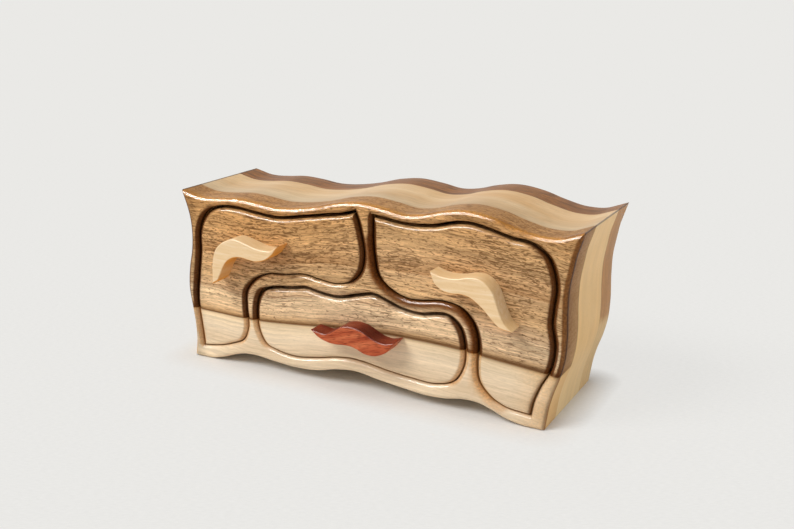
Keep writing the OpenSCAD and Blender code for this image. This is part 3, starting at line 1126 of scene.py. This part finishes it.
class Workshop:
    """Puts each piece in its place: on its body, in its slot, with its finish."""

    def __init__(self, block: Block) -> None:
        """Makes the finishes once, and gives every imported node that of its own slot.

        Args:
            block: the sizes that the finishes follow.
        """
        self.finishes = {
            Finish.WALNUT_FRONT: FrontWalnut(block.front_y, block.edge_r).material(),
            Finish.PALE_MIDDLE: PaleBoard().material(),
            Finish.WALNUT_REAR: RearWalnut().material(),
            Finish.PALE_HANDLE: PaleHandle().material(),
            Finish.RED_HANDLE: RedHandle().material(),
            Finish.DOWEL_BEECH: BeechDowel().material(),
        }
        for row in frame["record"]["subparts"]:
            node = frame["nodes"][row["node"]]
            node.data.materials.clear()
            node.data.materials.append(self.finishes[Finish(row["material_slot"])])

    def set_piece(self, piece: bpy.types.Object, node: str, body: str, finish: Finish) -> None:
        """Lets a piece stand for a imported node.

        Args:
            piece: the new piece.
            node: the node that it replaces.
            body: the body that it moves with.
            finish: what it is made of.
        """
        piece.data.materials.append(self.finishes[finish])
        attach(piece, body)
        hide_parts(node)
        log.info("%s: %d faces on %s, %s", piece.name, len(piece.data.polygons), body, finish.value)


@dataclass
class Carcass:
    """The block's outer ring: three boards with three pockets, and the back panel behind them.

    The front board is darker in a band beside the right pocket, left of and below the two ends of
    the stretch, which fades out over the last part of its width.
    """

    block: Block
    cuts: dict[str, np.ndarray]
    dark_band_ends: Point = (108.0, 116.0)
    dark_band_width: float = 7.0
    dark_band_fade: float = 3.0
    underside: Knots = (
        (-157, 0), (-148, 0), (-140, 0.3), (-130, 2.5), (-120, 6), (-110, 9), (-100, 10), (-80, 8.3),
        (-60, 7), (-40, 8.5), (-23, 12.5), (-8, 14), (10, 11.5), (30, 9), (50, 7), (64, 7.5), (80, 10),
        (90, 9.8), (100, 7), (110, 3), (120, 0.6), (130, 0), (139, 0),
    )
    right_side: Knots = (
        (139, 0), (141, 13.5), (144, 26.5), (148, 38.5), (151, 51.5), (152, 66.5), (151.5, 86.5),
        (152, 101.5), (154, 113.5), (156.5, 125.5), (161, 139.5),
    )
    top_side: Knots = (
        (161, 139.5), (149, 135), (132, 133.5), (115, 137), (98, 142), (78, 144.5), (60, 142),
        (47, 138.5), (33, 137), (17, 139.5), (-2, 141.5), (-20, 139.5), (-40, 134.5), (-58, 131.5),
        (-76, 130.5), (-94, 132.5), (-110, 133.5), (-128, 132), (-139, 131.5), (-149, 132.5), (-161, 135.5),
    )
    left_side: Knots = (
        (-161, 135.5), (-157.5, 125.5), (-154.5, 114.5), (-153.5, 103.5), (-154.5, 89.5), (-158, 73.5),
        (-159.5, 57.5), (-157.5, 41.5), (-155.5, 25.5), (-155.5, 11.5), (-157, 0),
    )

    def outside(self) -> np.ndarray:
        """The outer outline, anticlockwise from the left foot."""
        sides = (self.underside, self.right_side, self.top_side, self.left_side)
        return np.concatenate([curve(side, self.block.spacing) for side in sides])

    def build(self, shop: Workshop) -> None:
        """Makes the four pieces of the carcass.

        Args:
            shop: the workshop that puts them in place.
        """
        b, outside = self.block, self.outside()
        ring = [outside] + [grow(cut, b.saw_gap / 2) for cut in self.cuts.values()]
        boards = (
            ("carcass_front_board", Slab(ring, b.front_y, b.middle_y, b.edge_r), Finish.WALNUT_FRONT),
            ("carcass_middle_board", Slab(ring, b.middle_y, b.rear_y), Finish.PALE_MIDDLE),
            ("carcass_rear_board", Slab(ring, b.rear_y, b.panel_y), Finish.WALNUT_REAR),
            ("back_panel", Slab([outside], b.panel_y, b.back_y, 0.0, b.back_r, rows=3), Finish.WALNUT_REAR),
        )
        for node, slab, finish in boards:
            piece = slab.mesh(node + "_wood")
            if finish is Finish.WALNUT_FRONT:
                self.mark_dark_band(piece)
            shop.set_piece(piece, node, "carcass", finish)

    def mark_dark_band(self, piece: bpy.types.Object) -> None:
        """Stores how dark the band is at each point, as "lee": (width - distance) / fade, held to 0..1.

        The path along the pocket goes there and back, because distances are to closed outlines.

        Args:
            piece: the front board.
        """
        verts = np.empty(3 * len(piece.data.vertices))
        piece.data.vertices.foreach_get("co", verts)
        at = verts.reshape(-1, 3)[:, (0, 2)] / MM
        beside = self.cuts["right"]
        kept = np.all(beside < self.dark_band_ends, axis=1)
        start = np.flatnonzero(kept & ~np.roll(kept, 1))[0]
        path = np.roll(beside, -start, axis=0)[: np.count_nonzero(kept)]
        gap = distance(at, [np.concatenate([path, path[-2:0:-1]])])
        stored = piece.data.attributes.new("lee", "FLOAT", "POINT")
        stored.data.foreach_set("value", np.clip((self.dark_band_width - gap) / self.dark_band_fade, 0, 1))


def upper_crossing(outline: np.ndarray, x: float) -> tuple[int, np.ndarray]:
    """Where an anticlockwise outline last crosses an upright line, on its way from right to left.

    Args:
        outline: the outline.
        x: place of the line.

    Returns:
        The number of the point before the highest crossing, and the crossing itself.
    """
    a, b = outline, np.roll(outline, -1, axis=0)
    found = np.flatnonzero((a[:, 0] > x) & (b[:, 0] <= x))
    t = (x - a[found, 0]) / (b[found, 0] - a[found, 0])
    z = a[found, 1] + t * (b[found, 1] - a[found, 1])
    best = int(np.argmax(z))
    return int(found[best]), np.array([x, z[best]])


def open_top(outline: np.ndarray, left: float, right: float) -> np.ndarray:
    """What is left of an outline when its top is sawn away between two upright lines.

    Args:
        outline: an anticlockwise outline.
        left: place of the left line.
        right: place of the right line.

    Returns:
        The points from the left line down and around to the right one.
    """
    i, start = upper_crossing(outline, left)
    j, end = upper_crossing(outline, right)
    kept = outline[(i + 1 + np.arange((j - i) % len(outline))) % len(outline)]
    return np.concatenate([[start], kept, [end]])


@dataclass
class Handle:
    """A shaped handle: a wavy slab with pointed ends on the face of its drawer."""

    at: Point
    over: Knots
    under: Knots
    finish: Finish
    spacing: float = 0.8

    def mesh(self, name: str, block: Block) -> bpy.types.Object:
        """The handle in its place on the drawer's face.

        Args:
            name: the object's name.
            block: the sizes that all the pieces share.

        Returns:
            The object.
        """
        outline = np.concatenate([curve(self.over, self.spacing), curve(self.under, self.spacing)])
        outline = outline + np.array(self.at) - [0, block.drop]
        front = block.drawer_y - block.handle
        return Slab([outline], front, block.drawer_y, block.handle_r, rows=4, grid=2.5).mesh(name)


@dataclass
class Drawer:
    """One drawer: a wavy block hollowed from above, with its face, its back and its handle."""

    name: str
    cut: np.ndarray
    mouth: Point
    handle: Handle
    block: Block
    wall_slack: float = 0.02

    def outline(self) -> np.ndarray:
        """The drawer's own outline: inside the saw line and down on the floor of its pocket."""
        return grow(self.cut, -self.block.saw_gap / 2) - [0, self.block.drop]

    def hollow(self) -> np.ndarray:
        """The outline of the hollow, one wall inside the drawer's own."""
        moved = grow(self.outline(), -self.block.drawer_wall)
        return moved[distance(moved, [self.outline()]) > self.block.drawer_wall - self.wall_slack]

    def walls(self) -> np.ndarray:
        """The U-shaped section of the hollowed part, open at the top between the two lips."""
        outer, inner = (open_top(o, *self.mouth) for o in (self.outline(), self.hollow()))
        return np.concatenate([outer, inner[::-1]])

    def build(self, shop: Workshop) -> None:
        """Makes the drawer's pieces.

        Args:
            shop: the workshop that puts them in place.
        """
        b, outline, walls = self.block, self.outline(), self.walls()
        back = Slab([outline], b.hollow_end_y, b.drawer_end_y, 0.0, b.back_r, rows=3)
        boards = (
            ("_drawer_front", Slab([outline], b.drawer_y, b.hollow_y, b.edge_r), Finish.WALNUT_FRONT),
            ("_drawer_body_front", Slab([walls], b.hollow_y, b.middle_y), Finish.WALNUT_FRONT),
            ("_drawer_body_middle", Slab([walls], b.middle_y, b.rear_y), Finish.PALE_MIDDLE),
            ("_drawer_body_rear", Slab([walls], b.rear_y, b.hollow_end_y), Finish.WALNUT_REAR),
            ("_drawer_back", back, Finish.WALNUT_REAR),
        )
        body = self.name + "_drawer"
        for suffix, slab, finish in boards:
            node = self.name + suffix
            shop.set_piece(slab.mesh(node + "_wood"), node, body, finish)
        node = self.name + "_handle"
        shop.set_piece(self.handle.mesh(node + "_wood", b), node, body, self.handle.finish)


@dataclass(frozen=True)
class SawLines:
    """The three saw lines on the face of the block, anticlockwise."""

    spacing: float
    left_under: Knots = (
        (-147.5, 10.5), (-140, 11.5), (-120, 16.5), (-108, 22.5), (-103.5, 32.5), (-104, 50.5),
        (-103, 62.5), (-95, 72.5), (-82, 79), (-66.5, 80.5), (-49.5, 83), (-36.5, 81), (-21.5, 80),
        (-9.5, 83.5), (-1.5, 91.5), (1.5, 103.5), (1, 111.5), (-1, 121.5), (-3, 129), (-5.5, 135.5),
    )
    left_over: Knots = (
        (-5.5, 135.5), (-12, 133.5), (-31.5, 130), (-51.5, 126.5), (-72, 123.5), (-92, 125),
        (-112, 127), (-122, 126.5), (-129, 125), (-135, 122), (-140, 117), (-145, 105.5), (-146, 90.5),
        (-149, 70.5), (-151.5, 50.5), (-149.5, 30.5), (-148, 16.5), (-147.5, 10.5),
    )
    centre_around: Knots = (
        (-76.5, 18.5), (-61.5, 16.5), (-41.5, 19), (-21.5, 23), (-11.5, 24), (-1.5, 23.5),
        (18.5, 20.5), (38.5, 18.5), (58.5, 18), (72.5, 23), (79.5, 35.5), (80.5, 48.5), (75.5, 64.5),
        (66.5, 70.5), (60.5, 70.5), (46.5, 68), (31.5, 69.5), (16.5, 74.5), (9.5, 76.5), (-4.5, 74),
        (-21.5, 70), (-39.5, 71.5), (-48.5, 73), (-61.5, 71), (-77, 69), (-88, 65), (-93, 55.5),
        (-94, 48.5), (-92, 30.5), (-86.5, 22),
    )
    right_over: Knots = (
        (129, 9.5), (130, 15.5), (135, 30.5), (142, 44.5), (144.5, 60.5), (142, 78.5),
        (142.5, 85.5), (143.5, 105.5), (137, 121.5), (126, 128.5), (112, 130.5), (96.5, 134.5),
        (81.5, 137), (73.5, 136.5), (56.5, 132.5), (38.5, 131), (28.5, 131.5), (17.5, 133), (9, 134),
    )
    right_under: Knots = (
        (9, 134), (9, 122.5), (10, 104.5), (13.5, 90.5), (25.5, 81), (38.5, 77.5), (46.5, 78),
        (63.5, 80), (77.5, 77), (86, 68.5), (90.5, 52.5), (89.5, 40.5), (91.5, 26.5), (98.5, 18),
        (111, 11.5), (122.5, 10), (129, 9.5),
    )

    def joined(self, *runs: Knots) -> np.ndarray:
        """One closed line made of runs that meet at pointed corners."""
        return np.concatenate([curve(knots, self.spacing) for knots in runs])

    def cuts(self) -> dict[str, np.ndarray]:
        """The saw lines.

        Returns:
            The saw line of each drawer, by the drawer's name.
        """
        return {
            "left": self.joined(self.left_under, self.left_over),
            "centre": curve(self.centre_around, self.spacing, closed=True),
            "right": self.joined(self.right_over, self.right_under),
        }


LEFT_HANDLE = Handle(
    at=(-95, 93.5),
    over=(
        (32.5, 13), (27, 9.5), (21, 8.7), (15, 9), (5, 11.5), (-2, 13.3), (-7, 14), (-13, 12.3),
        (-19, 9), (-23.5, 4.5), (-26, -1), (-27.5, -8), (-28, -17), (-28.5, -23.5),
    ),
    under=(
        (-28.5, -23.5), (-24.5, -21), (-21, -16), (-18, -10), (-15, -5.5), (-10, -1.5),
        (-5, 0.2), (0, 0.5), (7, -0.4), (13, -0.7), (20, 1), (25, 4), (29, 8), (32.5, 13),
    ),
    finish=Finish.PALE_HANDLE,
)
CENTRE_HANDLE = Handle(
    at=(-1, 46.5),
    over=(
        (34.5, 3), (28, 1.3), (22, 1.5), (16, 3.5), (10, 6.5), (4, 8.5), (-2, 9), (-8, 8),
        (-13, 5.2), (-18, 2), (-23, 0), (-28, 0.5), (-34.5, 1.5),
    ),
    under=(
        (-34.5, 1.5), (-30, -2), (-25, -4.5), (-19, -6), (-13, -6.3), (-7, -5.7), (-1, -5.7),
        (4, -7), (9, -9), (14, -9.8), (19, -9.4), (24, -7.5), (29, -4), (34.5, 3),
    ),
    finish=Finish.RED_HANDLE,
)
RIGHT_HANDLE = Handle(
    at=(90, 93.5),
    over=(
        (30, -21), (26, -17.5), (22.5, -12.5), (20, -6.5), (18, -1), (15, 5), (11, 9.2), (7, 11.4),
        (2, 12), (-3, 11.4), (-8, 10), (-14, 9.3), (-20, 9.5), (-25, 10.5), (-29.5, 12),
    ),
    under=(
        (-29.5, 12), (-26.5, 5), (-23, 1.5), (-19, -0.5), (-13, -1.2), (-6, -0.8), (0, -2),
        (5, -5), (10, -9), (14, -13), (18, -17), (23, -20), (30, -21),
    ),
    finish=Finish.PALE_HANDLE,
)


def drawers(block: Block, cuts: dict[str, np.ndarray]) -> list[Drawer]:
    """The three drawers with their mouths and handles.

    Args:
        block: the sizes that all the pieces share.
        cuts: the saw line of each drawer.

    Returns:
        The drawers.
    """
    return [
        Drawer("left", cuts["left"], (-129, -16), LEFT_HANDLE, block),
        Drawer("centre", cuts["centre"], (-80, 66), CENTRE_HANDLE, block),
        Drawer("right", cuts["right"], (20, 126), RIGHT_HANDLE, block),
    ]


# ---------------------------------------------------------------- the studio


@dataclass(frozen=True)
class Strip:
    """A long narrow lamp: where it hangs, its length and width in metres, and its radiance."""

    towards: Place
    length: float
    width: float
    radiance: float


@dataclass(frozen=True)
class Studio:
    """A pale cloth floor, soft light from the upper left in front, and the camera.

    The footprint is the middle and the half sizes of the box on the floor. The shadow is kept
    in full up to the first distance of `shadow_reach` from it, and then less and less. The lit
    cloth's colour is times `cloth_lit` to the camera and `cloth_bounce` to all other rays.
    `room_level` is the strength of the room on its dim side and on its bright one.
    """

    azimuth: float = 28.4807
    elevation: float = 16.4739
    roll: float = -0.2541
    lens: float = 44.47
    sensor: float = 36.0
    camera_at: Place = (338.545, -613.976, 293.744)
    floor_size: float = 60.0
    cloth: Colour = (235, 234, 231)
    cloth_turn: float = 61.0
    key_from: Place = (-0.44, -0.56, 0.70)
    key_energy: float = 2.1
    key_angle: float = 27.0
    strips: tuple[Strip, ...] = (
        Strip((-0.42, -0.14, 0.88), 1.7, 0.32, 330.0),
        Strip((-0.46, -0.50, 0.73), 1.5, 0.40, 230.0),
    )
    strip_distance: float = 2.2
    bright_side: Place = (0.42, 0.0, 0.85)
    room_level: Point = (0.36, 0.66)
    cloth_lit: float = 0.92
    cloth_bounce: float = 1.08
    footprint: tuple[float, float, float, float] = (-10.0, 6.0, 148.0, 50.0)
    shadow_reach: Point = (2.0, 26.0)
    shadow: Point = (1.0, 0.14)

    def camera(self) -> None:
        """The camera, whose own right, up and forward directions come from its three angles.

        Forward is (-sin a cos e, cos a cos e, -sin e), and the level right and the rise at right
        angles to both are turned about it by the roll.
        """
        a, e, r = (math.radians(v) for v in (self.azimuth, self.elevation, self.roll))
        forward = Vector((-math.sin(a) * math.cos(e), math.cos(a) * math.cos(e), -math.sin(e)))
        level = Vector((math.cos(a), math.sin(a), 0))
        rise = level.cross(forward)
        right = math.cos(r) * level + math.sin(r) * rise
        up = -math.sin(r) * level + math.cos(r) * rise
        data = bpy.data.cameras.new("camera")
        data.lens, data.sensor_width = self.lens, self.sensor
        data.clip_start, data.clip_end = 0.01, 200.0
        place = Matrix.Translation(Vector(self.camera_at) * MM)
        bpy.context.scene.camera = placed("camera", data, place @ turned(right, up, -forward))

    def floor(self) -> None:
        """A wide cloth floor, which stays the same pale colour to the horizon and keeps a light shadow."""
        half = self.floor_size / 2 / MM
        corners = np.array([[-half, -half, 0], [half, -half, 0], [half, half, 0], [-half, half, 0]])
        made = mesh_object("cloth_floor", corners, [np.array([[0, 1, 2, 3]])])
        g = Graph(bpy.data.materials.new("cloth"))
        x, y, _ = g.position(turn=(0, 0, self.cloth_turn))
        weave = g.noise((x, y, 0.0), (0.9, 0.22, 1.0), 3.0, 0.6)
        colour = g.shade(self.cloth, weave.spread(0.3, 0.7, 0.97, 1.02))
        seen = g.ray("Camera")
        worn = colour.shade(seen.spread(0.0, 1.0, self.cloth_bounce, self.cloth_lit))
        lit = g.surface(worn, 0.95, weave, 0.2, 0.0)
        plain = g.node("Emission", {"Color": colour})
        middle_x, middle_y, half_x, half_y = self.footprint
        x, y, _ = g.position()
        out_x = g.math("MAXIMUM", abs(x - middle_x) - half_x, 0.0)
        out_y = g.math("MAXIMUM", abs(y - middle_y) - half_y, 0.0)
        away = g.math("SQRT", out_x * out_x + out_y * out_y)
        kept = away.spread(*self.shadow_reach, *self.shadow)
        made.data.materials.append(g.close(g.choose(seen * (1.0 - kept), lit, plain)))

    def key(self) -> None:
        """A very soft sun from the upper left in front."""
        data = bpy.data.lights.new("key", "SUN")
        data.energy, data.angle = self.key_energy, math.radians(self.key_angle)
        placed("key", data, Vector(self.key_from).to_track_quat("Z", "Y").to_matrix().to_4x4())

    def strip_lamps(self) -> None:
        """The strips: seen only in gloss, for the thin bright line along the rounded edges."""
        for number, strip in enumerate(self.strips):
            data = bpy.data.lights.new(f"strip_{number}", "AREA")
            data.shape, data.size, data.size_y = "RECTANGLE", strip.length, strip.width
            data.energy = strip.radiance * math.pi * strip.length * strip.width
            data.cycles.max_bounces = 0
            towards = Vector(strip.towards).normalized()
            side = Vector((1, 0, 0))
            side = (side - side.dot(towards) * towards).normalized()
            place = Matrix.Translation(towards * self.strip_distance)
            lamp = placed(data.name, data, place @ turned(side, towards.cross(side), towards))
            lamp.visible_diffuse = False

    def room(self) -> None:
        """A pale room, brighter above and on the right, behind a plain pale backdrop.

        Its strength goes with the cosine between a ray and the bright side.
        """
        world = bpy.data.worlds.new("room")
        bpy.context.scene.world = world
        g = Graph(world, "World")
        towards = (g.coordinate("Generated"), Vector(self.bright_side).normalized())
        tilt = g.node("VectorMath", towards, "Value", operation="DOT_PRODUCT")
        strength = tilt.spread(-0.5, 1.0, *self.room_level)
        room = g.node("Background", {"Color": (1.0, 1.0, 1.0), "Strength": strength})
        backdrop = g.node("Background", {"Color": srgb(*self.cloth), "Strength": 1.0})
        seen = g.math("MAXIMUM", g.math("MAXIMUM", g.ray("Camera"), g.ray("Glossy")), g.ray("Transmission"))
        g.close(g.choose(seen, room, backdrop))

    def build(self) -> None:
        """Sets up the camera, the floor and the light."""
        bpy.context.scene.view_settings.view_transform = "Standard"
        for part in (self.camera, self.floor, self.key, self.strip_lamps, self.room):
            part()


def main() -> None:
    """Builds the box and the studio."""
    logging.basicConfig(level=logging.INFO, format="%(name)s: %(message)s")
    block = Block()
    cuts = SawLines(block.spacing).cuts()
    shop = Workshop(block)
    Carcass(block, cuts).build(shop)
    for drawer in drawers(block, cuts):
        drawer.build(shop)
    Studio().build()


if __name__ == "__main__":
    main()
